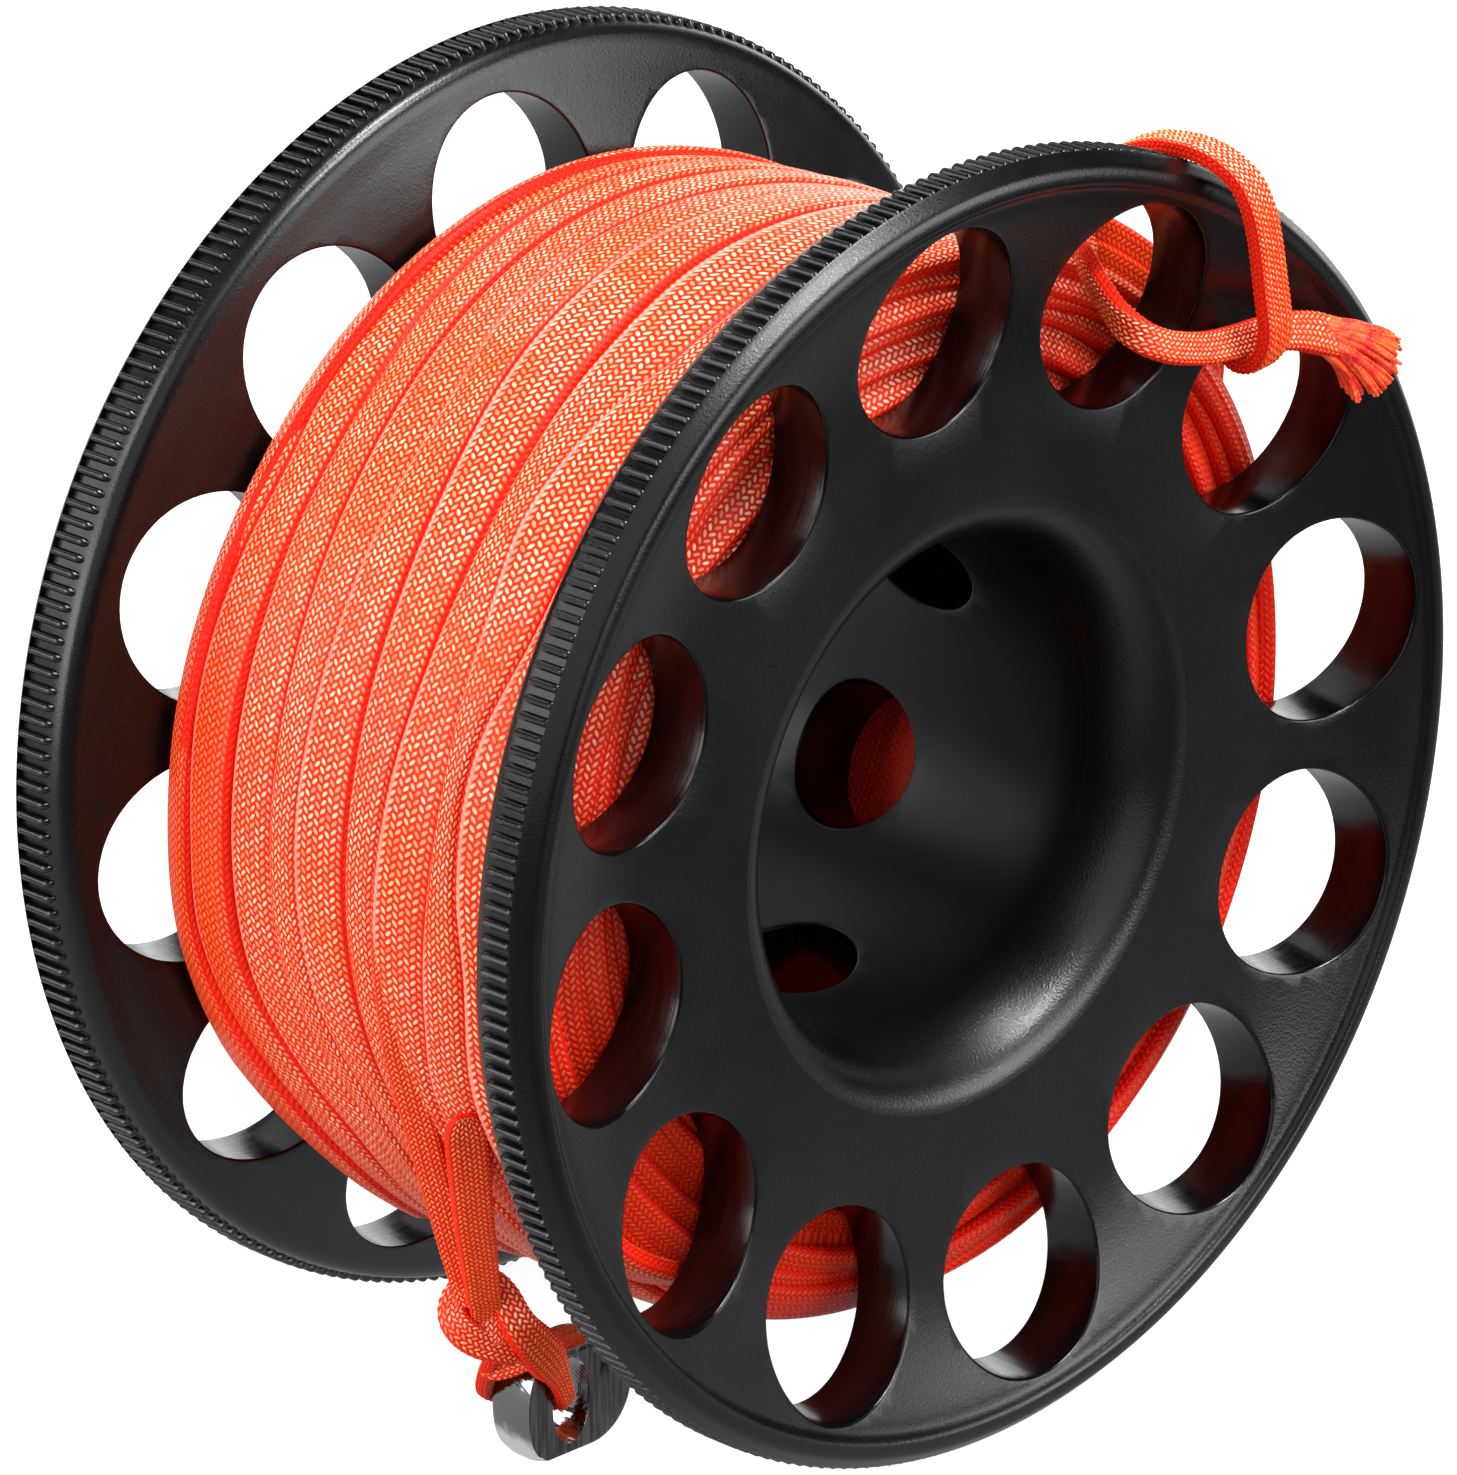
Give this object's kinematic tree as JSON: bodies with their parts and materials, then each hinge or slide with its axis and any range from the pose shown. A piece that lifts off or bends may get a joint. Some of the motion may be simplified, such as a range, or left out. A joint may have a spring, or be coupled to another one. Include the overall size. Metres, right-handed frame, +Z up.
{
  "type": "finger spool",
  "caption": "Finger spool: two dished, drilled black flanges with toothed rims on a flared hub, wound with flat red braided line that ends in a knotted steel weight",
  "frame": {"origin": "the middle of the finger bore, half way between the two flanges", "axes": "+Y along the spool's axis from the near flange to the far flange, +X to the right of the near flange's outer face, +Z up as pictured"},
  "size_m": [0.085, 0.0507, 0.085],
  "materials": {
    "anodised_black": "bead-blasted matte black anodising",
    "line_red": "flat hollow braid, orange red with pale flecks",
    "weight_steel": "turned stainless steel, brushed round with a polished end"
  },
  "bodies": {
    "spool": {"near_flange": "anodised_black", "far_flange": "anodised_black", "hub_barrel": "anodised_black", "line_core": "line_red", "line_winding": "line_red", "line_bight": "line_red", "line_tail": "line_red", "frayed_end": "line_red", "line_leader": "line_red", "tag_end": "line_red", "end_knot": "line_red", "weight_loop": "line_red"},
    "weight": {"line_weight": "weight_steel"}
  },
  "joints": [
    {"name": "weight_swing", "type": "hinge", "parent": "spool", "child": "weight", "pos_m": [-0.0221, -0.0045, -0.038], "axis": [0, 1, 0], "range_deg": [-12, 12]}
  ]
}
